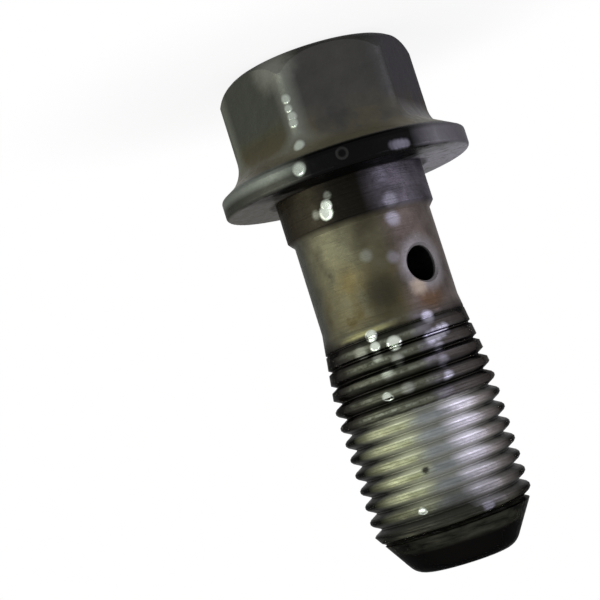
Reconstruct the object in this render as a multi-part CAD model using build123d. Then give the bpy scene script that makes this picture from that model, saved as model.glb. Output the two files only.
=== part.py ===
from build123d import *
from math import ceil, cos, radians, sqrt, tan
import os

# Banjo bolt of a clutch pump: a hollow hydraulic bolt, headed and turned in one piece from steel.
# Millimetres. The origin is the middle of the seat, the flange's face towards the thread.
# +Z runs along the axis from the seat to the free end of the thread, so the head lies below the seat.
# The X axis goes through two corners of the hexagon and through the oil hole.

# Hexagon
across_flats = 11.0
head_height = 8.2               # from the seat to the flat top of the head, flange included
hex_corner_radius = 0.7         # upright corners, worn by spanners
crown_radius = 2.1              # rounding from the corners to the flat top

# Flange
flange_overhang = 1.5           # from the circle through the hexagon's corners out to the rim
flange_rim_height = 1.2
flange_slope = 30.0             # degrees by which the upper side rises towards the hexagon
flange_edge_radius = 0.25       # both edges of the rim
hex_root_radius = 1.9           # hollow where the hexagon flows into the flange

# Collar that centres the hose eye on the seat
collar_clearance = 0.3          # how far the collar stays inside the thread's crests, which pass the same eye
collar_length = 2.4
collar_taper_length = 0.4

# Waist with the oil hole, which goes right through
waist_relief = 0.085            # how far the waist lies below the bottom of the thread
oil_hole_diameter = 2.2
oil_hole_distance = 6.2         # from the seat to the middle of the hole
oil_hole_edge_break = 0.15      # chamfer at both mouths

# Thread, metric fine, cut on a blank that widens from the waist to the full size
thread_diameter = 10.0
thread_pitch = 1.0
thread_start = 8.4              # from the seat to where the blank leaves the waist
thread_taper_length = 4.8       # along which the blank widens to the full size

# Free end
shank_length = 24.0             # from the seat to the end face
end_chamfer_length = 2.9
end_chamfer_depth = 1.9         # from the crests in to the end face's edge
end_edge_radius = 1.2           # between the chamfer and the end face

# Oil bore, drilled from the end face
bore_diameter = 4.0
bore_past_oil_hole = 1.6        # straight wall beyond the middle of the oil hole
bore_point_angle = 118.0        # degrees, as the drill leaves it
bore_edge_break = 0.3           # chamfer at the mouth

# The groove's form, in shares of the pitch and degrees from a plane across the axis
crest_width_share = 0.16
crest_wear_share = 0.12         # height of the crest's edges that use has worn round
crest_wear_angle = 50.0
root_width_share = 0.05
flank_angle = 30.0

seat_z = 0.0
top_z = seat_z - head_height
end_z = seat_z + shank_length
oil_hole_z = seat_z + oil_hole_distance
corner_circle = across_flats / sqrt(3)
flange_radius = corner_circle + flange_overhang
thread_radius = thread_diameter / 2
crest_width = crest_width_share * thread_pitch
crest_wear_height = crest_wear_share * thread_pitch
half_groove = (thread_pitch - crest_width) / 2
half_flanks = half_groove - crest_wear_height * tan(radians(crest_wear_angle))
half_root = thread_pitch * root_width_share / 2
root_radius = thread_radius - crest_wear_height - (half_flanks - half_root) / tan(radians(flank_angle))
collar_radius = thread_radius - collar_clearance
waist_radius = root_radius - waist_relief
end_face_radius = thread_radius - end_chamfer_depth


def hexagon():
    """Upright prism with worn corners, cut to a rounded crown at the top of the head."""
    outline = RegularPolygon(across_flats / 2, 6, major_radius=False)
    outline = fillet(outline.vertices(), hex_corner_radius)
    prism = extrude(Plane.XY.offset(top_z) * outline, head_height)
    upwards = (Align.CENTER, Align.CENTER, Align.MIN)
    crown = Pos(0, 0, top_z) * Cylinder(corner_circle, head_height, align=upwards)
    crown = fillet(crown.edges().sort_by(Axis.Z)[0], crown_radius)
    return prism & crown


def flange():
    """Disc with a rim and a sloping upper side, which goes on as a cone inside the hexagon."""
    rim_top_z = seat_z - flange_rim_height
    cone_rise = flange_radius * tan(radians(flange_slope))
    outline = Polyline(
        (0, seat_z),
        (flange_radius, seat_z),
        (flange_radius, rim_top_z),
        (0, rim_top_z - cone_rise),
        close=True,
    )
    disc = revolve(Plane.XZ * make_face(outline), Axis.Z)
    return fillet(disc.edges().filter_by(GeomType.CIRCLE), flange_edge_radius)


def head():
    """Hexagon and flange as one forging, with the hollow that runs round the hexagon's foot."""
    upper, lower = hexagon(), flange()
    forging = upper + lower
    corner_reach = corner_circle - hex_corner_radius * (2 / sqrt(3) - 1)
    slope_length = (flange_radius - flange_edge_radius - corner_reach) / cos(radians(flange_slope))
    largest_root = 0.95 * slope_length / tan(radians(90 - flange_slope) / 2)
    foot = new_edges(upper, lower, combined=forging)
    return fillet(foot, min(hex_root_radius, largest_root))


def shank_blank():
    """Collar, waist and thread blank before the thread is cut, turned from the flange outwards."""
    outline = Polyline(
        (0, seat_z - flange_rim_height / 2),
        (collar_radius, seat_z - flange_rim_height / 2),
        (collar_radius, seat_z + collar_length),
        (waist_radius, seat_z + collar_length + collar_taper_length),
        (waist_radius, seat_z + thread_start),
        (thread_radius, seat_z + thread_start + thread_taper_length),
        (thread_radius, end_z - end_chamfer_length),
        (end_face_radius, end_z),
        (0, end_z),
        close=True,
    )
    blank = revolve(Plane.XZ * make_face(outline), Axis.Z)
    return fillet(blank.edges().filter_by(GeomType.CIRCLE).sort_by(Axis.Z)[-1], end_edge_radius)


def thread_turns():
    """Every turn of the right-hand groove, from the waist out past the free end."""
    first_z = seat_z + thread_start - thread_pitch
    worn_radius = thread_radius - crest_wear_height
    overcut = crest_width / 4
    half_outer = half_groove + overcut
    outer_radius = thread_radius + overcut / tan(radians(crest_wear_angle))
    section = Polyline(
        (root_radius, first_z - half_root),
        (worn_radius, first_z - half_flanks),
        (outer_radius, first_z - half_outer),
        (outer_radius, first_z + half_outer),
        (worn_radius, first_z + half_flanks),
        (root_radius, first_z + half_root),
        close=True,
    )
    path = Helix(thread_pitch, thread_pitch, root_radius, center=(0, 0, first_z))
    turn = sweep(Plane.XZ * make_face(section), path=path, is_frenet=True)
    count = ceil((end_z - first_z) / thread_pitch) + 1
    return [Pos(0, 0, i * thread_pitch) * turn for i in range(count)]


def oil_bore():
    """Blind drilling from the end face to a little past the oil hole, with its drill point."""
    bore_radius = bore_diameter / 2
    bottom_z = oil_hole_z - bore_past_oil_hole
    point_depth = bore_radius / tan(radians(bore_point_angle / 2))
    outline = Polyline(
        (0, bottom_z - point_depth),
        (bore_radius, bottom_z),
        (bore_radius, end_z - bore_edge_break),
        (bore_radius + bore_edge_break, end_z),
        (0, end_z),
        close=True,
    )
    return revolve(Plane.XZ * make_face(outline), Axis.Z)


def with_oil_hole(body):
    """The cross drilling through the waist, with its edges broken on the outside."""
    drill = Pos(0, 0, oil_hole_z) * Rot(0, 90, 0) * Cylinder(oil_hole_diameter / 2, 4 * waist_radius)
    drilled = body - drill
    outside = [edge for edge in new_edges(body, drill, combined=drilled) if abs(edge.center().X) > bore_diameter / 2]
    return chamfer(outside, oil_hole_edge_break)


def clutch_bolt():
    """The whole bolt as one solid."""
    shank = shank_blank() - thread_turns() - oil_bore()
    return head() + with_oil_hole(shank)


bolt = clutch_bolt()
bolt.label = "banjo_bolt"

os.makedirs("parts", exist_ok=True)
export_step(bolt, "parts/banjo_bolt.step")
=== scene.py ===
from math import cos, pi, radians, sin

import bpy
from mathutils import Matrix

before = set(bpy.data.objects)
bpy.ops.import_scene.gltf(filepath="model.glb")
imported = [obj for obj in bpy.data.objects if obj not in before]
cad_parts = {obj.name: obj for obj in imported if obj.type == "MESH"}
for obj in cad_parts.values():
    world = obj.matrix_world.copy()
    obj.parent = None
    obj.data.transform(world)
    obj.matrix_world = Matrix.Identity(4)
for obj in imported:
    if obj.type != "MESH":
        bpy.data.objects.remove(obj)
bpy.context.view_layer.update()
scene = bpy.context.scene


# The bolt
# The real one is a single piece of steel: a forged hexagon head with its flange, a turned collar
# and waist with a cross-drilled oil hole, and a thread. It keeps its black oxide on the head, is
# brown with oil on the waist and the first turns, and worn bright on the turns that sat in a port.

MM = 0.001
FACING = radians(41.7)          # from +X round to the side that is most worn

# Sizes and heights above the seat, in millimetres
WAIST_RADIUS = 4.36
CREST_RADIUS = 5.0
TAPER_START = 8.4               # where the thread's crests leave the waist
TAPER_LENGTH = 4.8              # along which they grow to their full radius
WAIST_START = 2.6
FIRST_TURNS_START = 9.3
BARE_TURNS_START = 14.42
FREE_END_START = 21.2
OIL_HOLE = (3.25, -2.9, 6.2)    # its mouth: front, left and height, as for all places below
GROOVE_PHASE = 0.016            # of a turn, which brings the pattern's grooves onto the cut ones


def linear(colour):
    """A '#rrggbb' sRGB colour as linear RGBA."""
    shares = [int(colour[i:i + 2], 16) / 255 for i in (1, 3, 5)]
    return [s / 12.92 if s <= 0.04045 else ((s + 0.055) / 1.055) ** 2.4 for s in shares] + [1.0]


def add(kind, inputs=(), out=0, **settings):
    """Adds a node to the tree in hand; an input is a value or the output that feeds it."""
    node = tree.nodes.new(kind)
    for name, value in settings.items():
        setattr(node, name, value)
    for key, value in dict(inputs).items():
        if isinstance(value, bpy.types.NodeSocket):
            tree.links.new(value, node.inputs[key])
        else:
            node.inputs[key].default_value = value
    return node.outputs[out] if node.outputs else node


# Black-oxided steel, forged on the head and turned below it, worn and oily. The oxide gives a
# near-black satin with paler rubbed corners, the oil a thin gloss and brown stains, and the bare
# thread a dull silver.
steel = bpy.data.materials.new("oiled_black_oxide_steel")
steel.use_nodes = True
tree = steel.node_tree
tree.nodes.clear()

# Places on the bolt in millimetres, with front towards the worn side and left a quarter turn on
# from it. The helix is the height less the thread's climb: it stays the same along a groove, and
# grows by one from a turn to the next.
place = add("ShaderNodeMapping", {
    "Vector": add("ShaderNodeTexCoord", out="Object"),
    "Rotation": (0, 0, -FACING),
    "Scale": (1 / MM, 1 / MM, 1 / MM),
})
front = add("ShaderNodeSeparateXYZ", {0: place}, out=0)
left = add("ShaderNodeSeparateXYZ", {0: place}, out=1)
height = add("ShaderNodeSeparateXYZ", {0: place}, out=2)
across = add("ShaderNodeCombineXYZ", {0: front, 1: left})
radius = add("ShaderNodeVectorMath", {0: across}, out="Value", operation="LENGTH")
turn = add("ShaderNodeMath", {0: left, 1: front}, operation="ARCTAN2")
helix = add("ShaderNodeMath", {0: turn, 1: -1 / (2 * pi), 2: height}, operation="MULTIPLY_ADD")

# Patterns over those millimetres, where a scale of 5 gives spots of 0.2 mm: grain (0.2) and lumps
# (1.1) of the forging, blotches (2) and flecks (0.6) of oil, lathe rings (0.15 apart) and streaks
# of wear (0.3 apart) that run round the shank. Real rings and scratches are finer, and are drawn
# as coarse as they need to show.
grain = add("ShaderNodeTexNoise", {"Vector": place, "Scale": 5.0, "Detail": 4.0, "Roughness": 0.6})
lumps = add("ShaderNodeTexNoise", {"Vector": place, "Scale": 0.9, "Detail": 2.0, "Roughness": 0.45})
blotches = add("ShaderNodeTexNoise", {
    "Vector": place, "Scale": 0.5, "Detail": 4.0, "Roughness": 0.55,
})
flecks = add("ShaderNodeTexNoise", {"Vector": place, "Scale": 1.7, "Detail": 3.0, "Roughness": 0.7})
round_place = add("ShaderNodeMapping", {"Vector": place, "Scale": (0.35, 0.35, 7.0)})
rings = add("ShaderNodeTexNoise", {
    "Vector": round_place, "Scale": 1.0, "Detail": 3.0, "Roughness": 0.6,
})
streak_place = add("ShaderNodeMapping", {"Vector": place, "Scale": (0.5, 0.5, 3.2)})
streaks = add("ShaderNodeTexNoise", {
    "Vector": streak_place, "Scale": 1.0, "Detail": 5.0, "Roughness": 0.65,
})

# The same patterns as clear shares from 0 to 1
BY_BLOTCHES = {"Value": blotches, "From Min": 0.38, "From Max": 0.62}
BY_STREAKS = {"Value": streaks, "From Min": 0.35, "From Max": 0.65}
oily = add("ShaderNodeMapRange", BY_BLOTCHES)
mottled = add("ShaderNodeMapRange", {"Value": lumps, "From Min": 0.36, "From Max": 0.66})
speckled = add("ShaderNodeMapRange", {"Value": flecks, "From Min": 0.42, "From Max": 0.6})
scratched = add("ShaderNodeMapRange", BY_STREAKS)


def patch(centre, inner, outer, ragged):
    """1 within the inner distance of a place, 0 past the outer one, ragged in between."""
    away = add("ShaderNodeVectorMath", {0: place, 1: centre}, out="Value", operation="DISTANCE")
    away = add("ShaderNodeMath", {0: flecks, 1: ragged, 2: away}, operation="MULTIPLY_ADD")
    edge = {"Value": away, "From Min": outer + ragged / 2, "From Max": inner + ragged / 2}
    return add("ShaderNodeMapRange", edge, interpolation_type="SMOOTHSTEP")


def away_from(value, middle):
    """How far a value lies from a middle one, to either side."""
    gap = add("ShaderNodeMath", {0: value, 1: middle}, operation="SUBTRACT")
    return add("ShaderNodeMath", {0: gap}, operation="ABSOLUTE")


# Zones round the bolt, by the turn in radians from the front: each is a share from 0 to 1 that
# fades out towards the back, and the painted light and reflections that some of them carry fade
# with them
off_back = add("ShaderNodeMapRange", {
    "Value": away_from(turn, 0.0), "From Min": 2.9, "From Max": 1.9,
})
is_left = add("ShaderNodeMapRange", {
    "Value": turn, "From Min": 0.25, "From Max": 0.55, "To Max": off_back,
})
is_right = add("ShaderNodeMapRange", {
    "Value": turn, "From Min": -0.2, "From Max": -0.5, "To Max": off_back,
})
is_far_left = add("ShaderNodeMapRange", {
    "Value": turn, "From Min": 0.8, "From Max": 1.2, "To Max": off_back,
})
is_far_right = add("ShaderNodeMapRange", {
    "Value": turn, "From Min": -0.6, "From Max": -0.85, "To Max": off_back,
})

# Zones along the bolt. Those of the thread end along its turns: climb is close to the helix but
# has no step at the back, and the flecks make the ends uneven.
IN_TO_SHANK = {"Value": radius, "From Min": 5.2, "From Max": 4.95}
OUT_TO_RIM = {"Value": radius, "From Min": 7.2, "From Max": 7.5}
is_past_seat = add("ShaderNodeMapRange", {"Value": height, "From Min": -0.1, "From Max": -0.02})
is_shank = add("ShaderNodeMapRange", {**IN_TO_SHANK, "To Max": is_past_seat})
is_drilled = add("ShaderNodeMapRange", {
    "Value": radius, "From Min": 4.2, "From Max": 4.0, "To Max": is_past_seat,
})
is_rim = add("ShaderNodeMapRange", OUT_TO_RIM)
is_waist = add("ShaderNodeMapRange", {
    "Value": height, "From Min": WAIST_START - 0.15, "From Max": WAIST_START + 0.15,
})
swing = add("ShaderNodeMath", {0: turn}, operation="SINE")
climb = add("ShaderNodeMath", {0: swing, 1: -1 / (2 * pi), 2: height}, operation="MULTIPLY_ADD")
uneven_climb = add("ShaderNodeMath", {0: flecks, 1: 0.4, 2: climb}, operation="MULTIPLY_ADD")
even_climb = add("ShaderNodeMath", {0: flecks, 1: 0.15, 2: climb}, operation="MULTIPLY_ADD")
is_thread = add("ShaderNodeMapRange", {
    "Value": uneven_climb, "From Min": FIRST_TURNS_START - 0.4, "From Max": FIRST_TURNS_START + 0.4,
})
is_bare = add("ShaderNodeMapRange", {
    "Value": even_climb, "From Min": BARE_TURNS_START - 0.04, "From Max": BARE_TURNS_START + 0.04,
})
is_end = add("ShaderNodeMapRange", {
    "Value": uneven_climb, "From Min": FREE_END_START - 0.15, "From Max": FREE_END_START + 0.2,
})

# Where a place lies across a turn of the thread, from 0 on a crest to 0.5 at the bottom of the
# groove, how deep it is below the crests, and whether it is on the side of a turn that faces the
# head
HEAD_FLANK = 0.3                # of a turn from the crest
crest = add("ShaderNodeMapRange", {
    "Value": height, "From Min": TAPER_START, "From Max": TAPER_START + TAPER_LENGTH,
    "To Min": WAIST_RADIUS, "To Max": CREST_RADIUS,
})
depth = add("ShaderNodeMath", {0: crest, 1: radius}, operation="SUBTRACT")
phase = add("ShaderNodeMath", {0: helix, 1: GROOVE_PHASE}, operation="SUBTRACT")
across_turn = add("ShaderNodeMath", {0: phase, 1: 0.5}, operation="PINGPONG")
in_groove = add("ShaderNodeMapRange", {"Value": across_turn, "From Min": 0.15, "From Max": 0.42})
flank_phase = add("ShaderNodeMath", {0: phase, 1: HEAD_FLANK}, operation="ADD")
flank_phase = add("ShaderNodeMath", {0: flank_phase, 1: 0.5}, operation="PINGPONG")
on_head_flank = add("ShaderNodeMapRange", {
    "Value": flank_phase, "From Min": 0.24, "From Max": 0.08,
})

# Colour of the head: near-black, greener on the left flat as painted light, lilac at the far right
# as a painted reflection, olive with old oil towards the foot, paler on the flange's sloping top as
# painted light, and paler on its rubbed corners. Here and below, each coat covers what is under it
# by its share.
OF_COLOURS = {"out": 2, "data_type": "RGBA"}
foot = add("ShaderNodeMapRange", {
    "Value": height, "From Min": -4.6, "From Max": -2.0, "To Max": oily,
})
slope = add("ShaderNodeMapRange", {"Value": height, "From Min": -2.4, "From Max": -1.9})
left_foot = add("ShaderNodeMapRange", {
    "Value": height, "From Min": -4.2, "From Max": -2.6, "To Max": is_left,
})
most_worn = add("ShaderNodeMapRange", {
    "Value": turn, "From Min": -0.1, "From Max": 0.2, "To Min": 0.08, "To Max": 0.9,
})
worn_corner = add("ShaderNodeMapRange", {
    "Value": height, "From Min": -2.0, "From Max": -3.0, "To Max": most_worn,
})
worn_corner = add("ShaderNodeMapRange", {
    "Value": radius, "From Min": 5.9, "From Max": 6.24, "To Max": worn_corner,
})
rubbed_crown = patch((5.0, 2.2, -7.4), 0.4, 2.0, 0.6)
colour = add("ShaderNodeMix", {
    0: blotches, 6: linear("#2d2d2c"), 7: linear("#3d3c39"),
}, **OF_COLOURS)
for cover, coat in (
    # The greener left flat is painted light, the lilac far right a painted reflection
    (is_left, "#3c3e38"),
    (is_far_right, "#3d3b3f"),
    (foot, "#4a4535"),
    (left_foot, "#3e3924"),
    # The paler sloping top of the flange is painted light
    (slope, "#4e4a3b"),
    (worn_corner, "#60625b"),
    (rubbed_crown, "#6a6b64"),
):
    colour = add("ShaderNodeMix", {0: cover, 6: colour, 7: linear(coat)}, **OF_COLOURS)

# Colour of the flange: black in front as painted shade, paler at both sides and lilac at the right
# as a painted reflection, with a painted highlight along its upper edge at the left and a painted
# ring of highlight in front
front_rim_shade = add("ShaderNodeMapRange", {
    "Value": away_from(turn, -0.17), "From Min": 0.66, "From Max": 0.4, "To Max": is_rim,
})
right_rim_sheen = add("ShaderNodeMapRange", {**OUT_TO_RIM, "To Max": is_right})
upper_edge_highlight = add("ShaderNodeMapRange", {**OUT_TO_RIM, "To Max": is_left})
upper_edge_highlight = add("ShaderNodeMapRange", {
    "Value": height, "From Min": -0.5, "From Max": -0.85, "To Max": upper_edge_highlight,
})
RING_PLACE = (7.85, -0.2, -0.81)
whole_ring = patch(RING_PLACE, 0.34, 0.42, 0.04)
inside_ring = patch(RING_PLACE, 0.16, 0.3, 0.04)
ring_highlight = add("ShaderNodeMath", {0: whole_ring, 1: inside_ring}, operation="SUBTRACT")
for cover, coat in (
    (is_rim, "#3a3b36"),
    # Painted: a lilac reflection at the right, shade in front, highlights along the edge and the
    # ring
    (right_rim_sheen, "#5c5a5f"),
    (front_rim_shade, "#080808"),
    (upper_edge_highlight, "#686c66"),
    (ring_highlight, "#232322"),
):
    colour = add("ShaderNodeMix", {0: cover, 6: colour, 7: linear(coat)}, **OF_COLOURS)

# Colour of the seat: black in front as painted shade, grey at the sides and the back where it is
# painted as lit, lilac at the right as a painted reflection, and stained in flecks
seat_side = away_from(turn, -0.12)
seat_side = add("ShaderNodeMath", {0: blotches, 1: 1.2, 2: seat_side}, operation="MULTIPLY_ADD")
lit_seat = add("ShaderNodeMapRange", {
    "Value": seat_side, "From Min": 1.25, "From Max": 1.75, "To Max": is_past_seat,
})
right_seat_sheen = add("ShaderNodeMath", {0: lit_seat, 1: is_right}, operation="MULTIPLY")
stained = add("ShaderNodeMapRange", {
    "Value": flecks, "From Min": 0.5, "From Max": 0.7, "To Max": lit_seat,
})
for cover, coat in (
    # Black in front is painted shade, the grey sides painted light, the lilac right a painted
    # reflection
    (is_past_seat, "#0c0c0b"),
    (lit_seat, "#605e5a"),
    (right_seat_sheen, "#908e96"),
    (stained, "#5a5752"),
):
    colour = add("ShaderNodeMix", {0: cover, 6: colour, 7: linear(coat)}, **OF_COLOURS)

# Colour of the collar: a thick film of brown oil, near-black in the middle, paler at the left as
# painted light, and lilac-grey in blotches at the right as a painted reflection
right_collar = add("ShaderNodeMapRange", {
    "Value": turn, "From Min": -0.1, "From Max": -0.6, "To Max": off_back,
})
collar_sheen = add("ShaderNodeMapRange", {**BY_BLOTCHES, "To Max": right_collar})
# Paler at the left: painted light
collar = add("ShaderNodeMix", {
    0: is_left, 6: linear("#12100c"), 7: linear("#2e2a22"),
}, **OF_COLOURS)
for cover, coat in (
    # Lilac-grey at the right: a painted reflection
    (right_collar, "#39363a"),
    (collar_sheen, "#534f57"),
):
    collar = add("ShaderNodeMix", {0: cover, 6: collar, 7: linear(coat)}, **OF_COLOURS)
colour = add("ShaderNodeMix", {0: is_shank, 6: colour, 7: collar}, **OF_COLOURS)

# Colour of the waist: brown oil over grey steel, paler tan at the left in mottled patches, with old
# brown oil near the thread, darker at the far left as painted shade, rust past the oil hole, steel
# that shows through round its mouth, and a painted highlight beside it
tan_left = add("ShaderNodeMapRange", {
    "Value": turn, "From Min": 0.05, "From Max": 0.5, "To Max": off_back,
})
tan_film = add("ShaderNodeMapRange", {
    "Value": lumps, "From Min": 0.15, "From Max": 0.64, "To Max": tan_left,
})
old_oil = add("ShaderNodeMapRange", {
    "Value": height, "From Min": 4.0, "From Max": 7.5, "To Max": mottled,
})
right_waist = add("ShaderNodeMapRange", {**BY_BLOTCHES, "To Max": is_right})
brown_stain = patch((4.03, 1.67, 6.1), 0.2, 1.3, 1.0)
dark_stain = patch((4.35, 0.0, 7.4), 0.2, 2.0, 0.8)
rust = patch((3.4, -2.7, 8.1), 0.3, 1.6, 0.8)
hole_edge = patch(OIL_HOLE, 1.1, 2.1, 0.5)
hole_highlight = patch((3.79, -2.16, 7.5), 0.1, 0.8, 0.4)
waist = add("ShaderNodeMix", {0: oily, 6: linear("#353124"), 7: linear("#484535")}, **OF_COLOURS)
for cover, coat in (
    (tan_film, "#67644f"),
    (brown_stain, "#605639"),
    (old_oil, "#473f27"),
    (is_right, "#3c3430"),
    (right_waist, "#554c48"),
    # Darker at the far left: painted shade
    (is_far_left, "#33332c"),
    (dark_stain, "#29261a"),
    (rust, "#483627"),
    (hole_edge, "#6d696b"),
    # A painted highlight beside the oil hole
    (hole_highlight, "#85796c"),
):
    waist = add("ShaderNodeMix", {0: cover, 6: waist, 7: linear(coat)}, **OF_COLOURS)
colour = add("ShaderNodeMix", {0: is_waist, 6: colour, 7: waist}, **OF_COLOURS)

# Painted shade that darkens the turns at both sides, more in the grooves, and ends in blotches
# towards the back
off_middle = away_from(turn, -0.08)
side_shade_end = add("ShaderNodeMath", {0: blotches, 1: -1.0, 2: off_middle}, operation="MULTIPLY_ADD")
side_shade_start = add("ShaderNodeMath", {0: in_groove, 1: 0.2, 2: off_middle}, operation="MULTIPLY_ADD")
side_shade = add("ShaderNodeMapRange", {"Value": side_shade_end, "From Min": 2.2, "From Max": 1.2})
side_shade = add("ShaderNodeMapRange", {
    "Value": side_shade_start, "From Min": 0.65, "From Max": 1.15, "To Max": side_shade,
})

# Colour of the first turns: dark with oil, paler along rubbed crests, darker in the grooves as
# painted shade, lilac at the right as a painted reflection with a painted lilac sheen, and with a
# painted highlight along the edge at the left where the first groove starts
FIRST_EDGE = 9.16               # of the helix
off_sheen = away_from(turn, -0.46)
sheen_band = add("ShaderNodeMapRange", {
    "Value": off_sheen, "From Min": 0.3, "From Max": 0.05, "To Max": mottled,
})
right_reflection_streaks = add("ShaderNodeMapRange", {**BY_STREAKS, "To Max": is_right})
right_groove_shade = add("ShaderNodeMapRange", {
    "Value": across_turn, "From Min": 0.45, "From Max": 0.2, "To Max": is_right,
})
rubbed = add("ShaderNodeMapRange", {
    "Value": across_turn, "From Min": 0.14, "From Max": 0.04, "To Max": speckled,
})
first_edge_highlight = add("ShaderNodeMapRange", {
    "Value": turn, "From Min": 0.85, "From Max": 0.6, "To Max": off_back,
})
first_edge_highlight = add("ShaderNodeMapRange", {
    "Value": turn, "From Min": -0.1, "From Max": 0.2, "To Max": first_edge_highlight,
})
first_edge_highlight = add("ShaderNodeMapRange", {
    "Value": away_from(helix, FIRST_EDGE), "From Min": 0.2, "From Max": 0.08, "To Max": first_edge_highlight,
})
turns = add("ShaderNodeMix", {
    0: scratched, 6: linear("#2c2d26"), 7: linear("#4b4c41"),
}, **OF_COLOURS)
for cover, coat in (
    # Lilac at the right: painted reflection
    (is_right, "#403d42"),
    (right_reflection_streaks, "#625f66"),
    (rubbed, "#62645a"),
    (sheen_band, "#7b7884"),
    # Darker grooves: painted shade
    (in_groove, "#1c1c17"),
    # Painted shade at both sides
    (side_shade, "#2a2826"),
    # Darker grooves at the right: painted shade
    (right_groove_shade, "#3a3735"),
):
    turns = add("ShaderNodeMix", {0: cover, 6: turns, 7: linear(coat)}, **OF_COLOURS)
colour = add("ShaderNodeMix", {0: is_thread, 6: colour, 7: turns}, **OF_COLOURS)
# A painted highlight along the first groove's edge at the left
colour = add("ShaderNodeMix", {0: first_edge_highlight, 6: colour, 7: linear("#6e6b4d")}, **OF_COLOURS)

# Colour of the bare turns: a dull silver with painted reflections, greenish at the left, bluish in
# the middle, lilac and warm at the right, painted highlights on the flanks towards the head, dull
# again at their end, and one nick in a crest
blue_reflection = add("ShaderNodeMapRange", {
    "Value": turn, "From Min": 0.25, "From Max": 0.0, "To Max": off_back,
})
blue_reflection_streaks = add("ShaderNodeMapRange", {**BY_STREAKS, "To Max": blue_reflection})
warm_reflection = add("ShaderNodeMapRange", {**BY_STREAKS, "To Max": is_far_right})
bare_groove = add("ShaderNodeMath", {0: in_groove, 1: 0.6}, operation="MULTIPLY")
left_flank_highlight = add("ShaderNodeMapRange", {
    "Value": away_from(turn, 0.28), "From Min": 0.25, "From Max": 0.05, "To Max": on_head_flank,
})
right_flank_highlight = add("ShaderNodeMapRange", {
    "Value": off_sheen, "From Min": 0.3, "From Max": 0.05, "To Max": on_head_flank,
})
half_right = add("ShaderNodeMath", {0: is_right, 1: 0.55}, operation="MULTIPLY")
last_right = add("ShaderNodeMapRange", {
    "Value": climb, "From Min": 17.3, "From Max": 19.0, "To Max": half_right,
})
dull_from = add("ShaderNodeMath", {0: is_right, 1: -0.9, 2: uneven_climb}, operation="MULTIPLY_ADD")
dull_end = add("ShaderNodeMapRange", {"Value": dull_from, "From Min": 18.9, "From Max": 20.8})
nick = patch((4.89, 0.78, 17.9), 0.05, 0.35, 0.5)
bare = add("ShaderNodeMix", {
    0: scratched, 6: linear("#66674f"), 7: linear("#8d8f76"),
}, **OF_COLOURS)
for cover, coat in (
    # Painted reflections: bluish in the middle, lilac and warm at the right
    (blue_reflection, "#5d6060"),
    (blue_reflection_streaks, "#777a7a"),
    (is_right, "#7b787e"),
    (right_reflection_streaks, "#a6a3a8"),
    (is_far_right, "#5e5957"),
    (warm_reflection, "#807a77"),
    (bare_groove, "#85857a"),
    # Painted highlights on the flanks towards the head
    (left_flank_highlight, "#9a9c86"),
    (right_flank_highlight, "#c4c2ca"),
    (last_right, "#524f4c"),
    (dull_end, "#24241f"),
    # Painted shade at both sides
    (side_shade, "#1b1b18"),
    (nick, "#2a2a24"),
):
    bare = add("ShaderNodeMix", {0: cover, 6: bare, 7: linear(coat)}, **OF_COLOURS)
colour = add("ShaderNodeMix", {0: is_bare, 6: colour, 7: bare}, **OF_COLOURS)

# Colour of the free end and of the bore: near-black
end = add("ShaderNodeMix", {0: scratched, 6: linear("#121210"), 7: linear("#34342d")}, **OF_COLOURS)
colour = add("ShaderNodeMix", {0: is_end, 6: colour, 7: end}, **OF_COLOURS)
colour = add("ShaderNodeMix", {0: is_drilled, 6: colour, 7: linear("#0b0a09")}, **OF_COLOURS)

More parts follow.
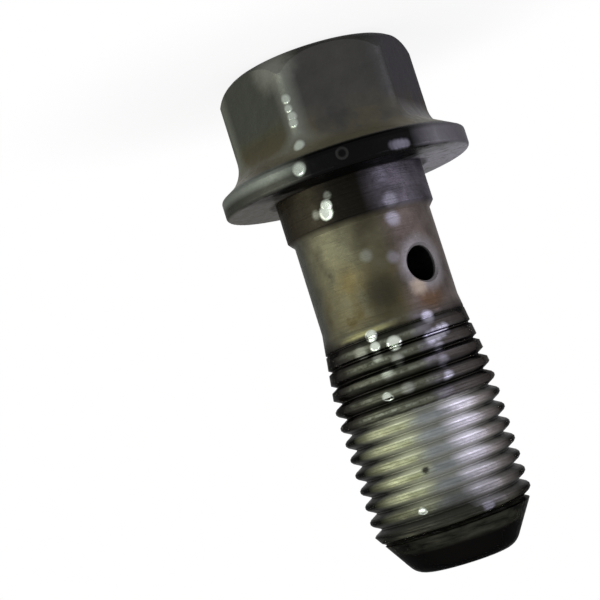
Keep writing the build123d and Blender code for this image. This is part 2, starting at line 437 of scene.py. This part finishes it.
# Beads of clean oil on the worn side with painted glints, brighter on the shank, and thin smears
# between them painted as highlights, greenish at the left and lilac at the right
OIL_BEAD_GLINTS = (
    # place, radius
    ((5.91, 2.0, -5.2), 0.3),
    ((5.9, 2.03, -4.6), 0.26),
    ((5.92, 1.95, -4.1), 0.3),
    ((5.91, 2.0, -3.7), 0.3),
    ((6.16, 2.05, -2.28), 0.36),
    ((7.46, 2.43, -0.75), 0.4),
    ((4.35, 1.77, 1.75), 0.42),
    ((4.37, 1.62, 1.35), 0.34),
    ((4.27, 1.43, 9.51), 0.34),
    ((4.38, 1.4, 10.2), 0.3),
    ((4.61, 0.26, 10.32), 0.42),
    ((4.62, 1.57, 13.28), 0.32),
    ((4.68, 1.63, 20.2), 0.26),
)
SMEAR_GLINTS = (
    # place, radius, how far it covers the steel
    ((7.21, -3.1, -0.44), 0.28, 0.15),
    ((7.12, -3.3, -0.43), 0.3, 0.25),
    ((7.03, -3.5, -0.42), 0.3, 0.3),
    ((6.92, -3.7, -0.41), 0.3, 0.3),
    ((6.81, -3.9, -0.4), 0.28, 0.25),
    ((4.48, 1.4, 0.79), 0.26, 0.33),
    ((4.05, 2.38, 1.65), 0.3, 0.36),
    ((4.28, -1.94, 0.53), 0.5, 0.1),
    ((4.19, -2.12, 2.11), 0.5, 0.32),
    ((3.91, -1.92, 3.2), 0.5, 0.5),
    ((4.35, 0.28, 4.91), 0.4, 0.26),
    ((4.19, -1.22, 5.44), 0.4, 0.26),
    ((3.93, 2.3, 10.3), 0.45, 0.4),
    ((3.97, -2.1, 9.4), 0.42, 0.8),
    ((4.15, -1.85, 10.66), 0.42, 1.0),
    ((3.98, -2.2, 10.56), 0.42, 1.0),
    ((3.78, -2.55, 10.44), 0.4, 1.0),
    ((3.55, -2.85, 10.34), 0.36, 0.8),
    ((4.1, -2.2, 11.3), 0.36, 0.5),
    ((4.2, -2.2, 12.2), 0.4, 0.5),
    ((4.35, -2.2, 13.1), 0.36, 0.7),
    ((4.4, 1.45, 10.8), 0.34, 0.5),
    ((4.71, 0.34, 11.34), 0.38, 0.75),
    ((4.6, 1.16, 11.9), 0.4, 0.5),
    ((4.85, 0.3, 13.1), 0.42, 0.4),
    ((4.5, -2.18, 21.02), 0.4, 0.25),
)
bead_glints, smear_glints = 0.0, 0.0
for centre, size in OIL_BEAD_GLINTS:
    bead_glint = patch(centre, 0.6 * size, 1.25 * size, 0.08)
    bead_glints = add("ShaderNodeMath", {0: bead_glints, 1: bead_glint}, operation="MAXIMUM")
for centre, size, cover in SMEAR_GLINTS:
    smear_glint = patch(centre, 0.4 * size, 1.3 * size, 0.12)
    smear_glint = add("ShaderNodeMath", {0: smear_glint, 1: cover}, operation="MULTIPLY")
    smear_glints = add("ShaderNodeMath", {0: smear_glints, 1: smear_glint}, operation="MAXIMUM")
on_left = add("ShaderNodeMapRange", {"Value": turn, "From Min": -0.2, "From Max": 0.1})
# Painted highlight colour of the smears, greenish at the left and lilac at the right
glint_tint = add("ShaderNodeMix", {0: on_left, 6: linear("#9593a0"), 7: linear("#93968c")}, **OF_COLOURS)
colour = add("ShaderNodeMix", {0: smear_glints, 6: colour, 7: glint_tint}, **OF_COLOURS)
shank_glints = add("ShaderNodeMapRange", {**IN_TO_SHANK, "To Max": bead_glints})
# Painted glints on the beads, brightest on the shank
for cover, coat in (
    (bead_glints, "#969c93"),
    (shank_glints, "#c4cabf"),
):
    colour = add("ShaderNodeMix", {0: cover, 6: colour, 7: linear(coat)}, **OF_COLOURS)

# Relief in millimetres: lumps and grain on the head, lathe rings on the shank, scratches on the
# bare turns. The first grooves are cut shallow and drawn deeper, and from 10.5 off the seat the
# grooves are filled with hard grime that softens their shading. Beads of oil and the bore are
# smooth.
LUMPS, GRAIN, RINGS, SCRATCHES = 0.06, 0.012, 0.02, 0.04
DRAWN_DEEPER = 0.12
GRIME_FILL = 0.43
SMOOTH_LEVEL = 0.06
forged = add("ShaderNodeMath", {0: lumps, 1: LUMPS}, operation="MULTIPLY")
forged = add("ShaderNodeMath", {0: grain, 1: GRAIN, 2: forged}, operation="MULTIPLY_ADD")
turned = add("ShaderNodeMath", {0: rings, 1: RINGS, 2: forged}, operation="MULTIPLY_ADD")
worn = add("ShaderNodeMath", {0: streaks, 1: SCRATCHES}, operation="MULTIPLY")
relief = add("ShaderNodeMix", {0: is_shank, 2: forged, 3: turned})
relief = add("ShaderNodeMix", {0: is_bare, 2: relief, 3: worn})
shallow = add("ShaderNodeMapRange", {
    "Value": height, "From Min": 12.5, "From Max": 10.5, "To Max": is_thread,
})
shallow = add("ShaderNodeMath", {0: shallow, 1: in_groove}, operation="MULTIPLY")
relief = add("ShaderNodeMath", {0: shallow, 1: -DRAWN_DEEPER, 2: relief}, operation="MULTIPLY_ADD")
fill = add("ShaderNodeMapRange", {
    "Value": height, "From Min": 12.0, "From Max": 14.5, "To Min": 0.2, "To Max": GRIME_FILL,
})
fill = add("ShaderNodeMapRange", {
    "Value": height, "From Min": 10.5, "From Max": 12.0, "To Max": fill,
})
fill = add("ShaderNodeMapRange", {
    "Value": climb, "From Min": 21.6, "From Max": 21.2, "To Max": fill,
})
filled = add("ShaderNodeMapRange", {
    "Value": across_turn, "From Min": 0.06, "From Max": 0.5, "To Max": fill,
}, interpolation_type="SMOOTHSTEP")
relief = add("ShaderNodeMath", {0: relief, 1: filled}, operation="ADD")
smooth = add("ShaderNodeMath", {0: bead_glints, 1: is_drilled}, operation="MAXIMUM")
relief = add("ShaderNodeMix", {0: smooth, 2: relief, 3: SMOOTH_LEVEL})
bump = add("ShaderNodeBump", {"Height": relief, "Strength": 1.0, "Distance": MM})

# Roughness: satin steel, less rough under smears and beads of oil
SATIN, SATIN_FLECKS, SMEARED, BEADED = 0.42, 0.56, 0.3, 0.16
roughness = add("ShaderNodeMapRange", {
    "Value": flecks, "From Min": 0.35, "From Max": 0.65, "To Min": SATIN, "To Max": SATIN_FLECKS,
})
roughness = add("ShaderNodeMix", {0: smear_glints, 2: roughness, 3: SMEARED})
roughness = add("ShaderNodeMix", {0: bead_glints, 2: roughness, 3: BEADED})

# How metallic: dull with old oil at the head's foot and on the waist, and with grime in the bare
# grooves
OXIDE, OILED, GRIMY, BARE = 0.92, 0.6, 0.5, 1.0
FOOT_OIL = 0.7                  # what the oil takes from the oxide at the foot
dull_foot = add("ShaderNodeMapRange", {
    "Value": radius, "From Min": 7.5, "From Max": 7.2, "To Max": FOOT_OIL,
})
dull_foot = add("ShaderNodeMapRange", {
    "Value": height, "From Min": -3.6, "From Max": -2.2, "To Max": dull_foot,
})
grimy_groove = add("ShaderNodeMapRange", {
    "Value": depth, "From Min": 0.02, "From Max": 0.2, "To Max": is_bare,
})
metal = add("ShaderNodeMath", {0: OXIDE, 1: dull_foot}, operation="SUBTRACT")
metal = add("ShaderNodeMix", {0: is_past_seat, 2: metal, 3: OXIDE})
metal = add("ShaderNodeMix", {0: is_waist, 2: metal, 3: OILED})
metal = add("ShaderNodeMix", {0: is_thread, 2: metal, 3: BARE})
metal = add("ShaderNodeMix", {0: grimy_groove, 2: metal, 3: GRIMY})
metal = add("ShaderNodeMix", {0: is_end, 2: metal, 3: BARE})

# A thin film of oil lies over all of it, and its edges mirror less than those of clean steel
finish = add("ShaderNodeBsdfPrincipled", {
    "Base Color": colour,
    "Metallic": metal,
    "Roughness": roughness,
    "Normal": bump,
    "Specular Tint": linear("#9a9a9a"),
    "Coat Weight": 0.03,
    "Coat Roughness": 0.14,
})
add("ShaderNodeOutputMaterial", {"Surface": finish})
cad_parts["banjo_bolt"].material_slots[0].material = steel


# Floor
# A pale studio table that the bolt stands on with its head: a flat board, matt and white, that
# shows nothing but the bolt's soft shadow.

HEAD_HEIGHT = 8.2               # millimetres, as all sizes below
FLOOR_WIDTH = 1600
bpy.ops.object.select_all(action="DESELECT")
bpy.ops.mesh.primitive_plane_add(size=FLOOR_WIDTH * MM, location=(0, 0, -HEAD_HEIGHT * MM))
floor = bpy.context.object
floor.name = "studio_floor"

# Matt white paint: it gives the eye plain white, with a share of the shadow left in near the bolt
SHADOW = {"From Min": 9 * MM, "From Max": 22 * MM, "To Min": 0.88, "To Max": 1.0}
board = bpy.data.materials.new("matt_white_board")
board.use_nodes = True
tree = board.node_tree
tree.nodes.clear()


def on_show():
    """1 for what is seen straight, mirrored or through glass, 0 for what only gives light."""
    share = 0.0
    for ray in ("Is Camera Ray", "Is Glossy Ray", "Is Transmission Ray"):
        seen = add("ShaderNodeLightPath", out=ray)
        share = add("ShaderNodeMath", {0: share, 1: seen}, operation="ADD", use_clamp=True)
    return share


spot = add("ShaderNodeTexCoord", out="Object")
from_bolt = add("ShaderNodeVectorMath", {0: spot}, out="Value", operation="LENGTH")
clear = add("ShaderNodeMapRange", {"Value": from_bolt, **SHADOW}, interpolation_type="SMOOTHSTEP")
clear = add("ShaderNodeMath", {0: on_show(), 1: clear}, operation="MULTIPLY")
matt = add("ShaderNodeBsdfDiffuse", {"Color": linear("#eeeeec")})
plain_white = add("ShaderNodeEmission", {"Color": linear("#ffffff"), "Strength": 1.0})
paint = add("ShaderNodeMixShader", {0: clear, 1: matt, 2: plain_white})
add("ShaderNodeOutputMaterial", {"Surface": paint})
floor.data.materials.append(board)


# Light
# Plain soft studio light: a white room, a wide soft box on each side, and three strips that the
# worn turns and the beads of oil catch.

ROOM_LEVEL = 0.55               # of the room's light on the bolt, against the white that is seen
world = bpy.data.worlds.new("white_room")
scene.world = world
world.use_nodes = True
tree = world.node_tree
tree.nodes.clear()
strength = add("ShaderNodeMapRange", {"Value": on_show(), "To Min": ROOM_LEVEL, "To Max": 1.0})
walls = add("ShaderNodeBackground", {"Color": linear("#ffffff"), "Strength": strength})
add("ShaderNodeOutputWorld", {"Surface": walls})

LAMPS = (
    # name, degrees to the left of the worn side, distance, height, width, length, watts, colour
    ("left_soft_box", 66, 130, 10, 50, 90, 0.08, "#f4f6e4"),
    ("right_soft_box", -76, 130, 10, 40, 90, 0.05, "#ece9f6"),
    ("left_strip", 33, 140, 8, 26, 110, 0.09, "#f4fff8"),
    ("right_strip", -47, 140, 8, 24, 110, 0.08, "#eae6ff"),
    ("front_strip", 6, 150, 8, 14, 110, 0.02, "#f0f6ff"),
)
for name, side, distance, lift, width, length, power, tint in LAMPS:
    bearing = FACING + radians(side)
    bpy.ops.object.light_add(
        type="AREA",
        location=(distance * cos(bearing) * MM, distance * sin(bearing) * MM, lift * MM),
        rotation=(pi / 2, 0, bearing + pi / 2),
    )
    lamp = bpy.context.object
    lamp.name = name
    lamp.data.shape = "RECTANGLE"
    lamp.data.size = width * MM
    lamp.data.size_y = length * MM
    lamp.data.energy = power
    lamp.data.color = linear(tint)[:3]


# Camera
# Level with the shank and turned over, so that the standing bolt shows head up and leaning as in
# the photograph.

CAMERA_PLACE = (74.66, 66.52, 13.89)
CAMERA_TURN = (-85.197, -17.360, -52.601)       # degrees
FOCAL_LENGTH = 97.5
FILM_WIDTH = 36
NEAREST = 5                     # what is closer to the camera doesn't show
bpy.ops.object.camera_add(
    location=[part * MM for part in CAMERA_PLACE],
    rotation=[radians(angle) for angle in CAMERA_TURN],
)
camera = bpy.context.object
camera.data.lens = FOCAL_LENGTH
camera.data.sensor_width = FILM_WIDTH
camera.data.clip_start = NEAREST * MM
scene.camera = camera
scene.view_settings.view_transform = "Standard"
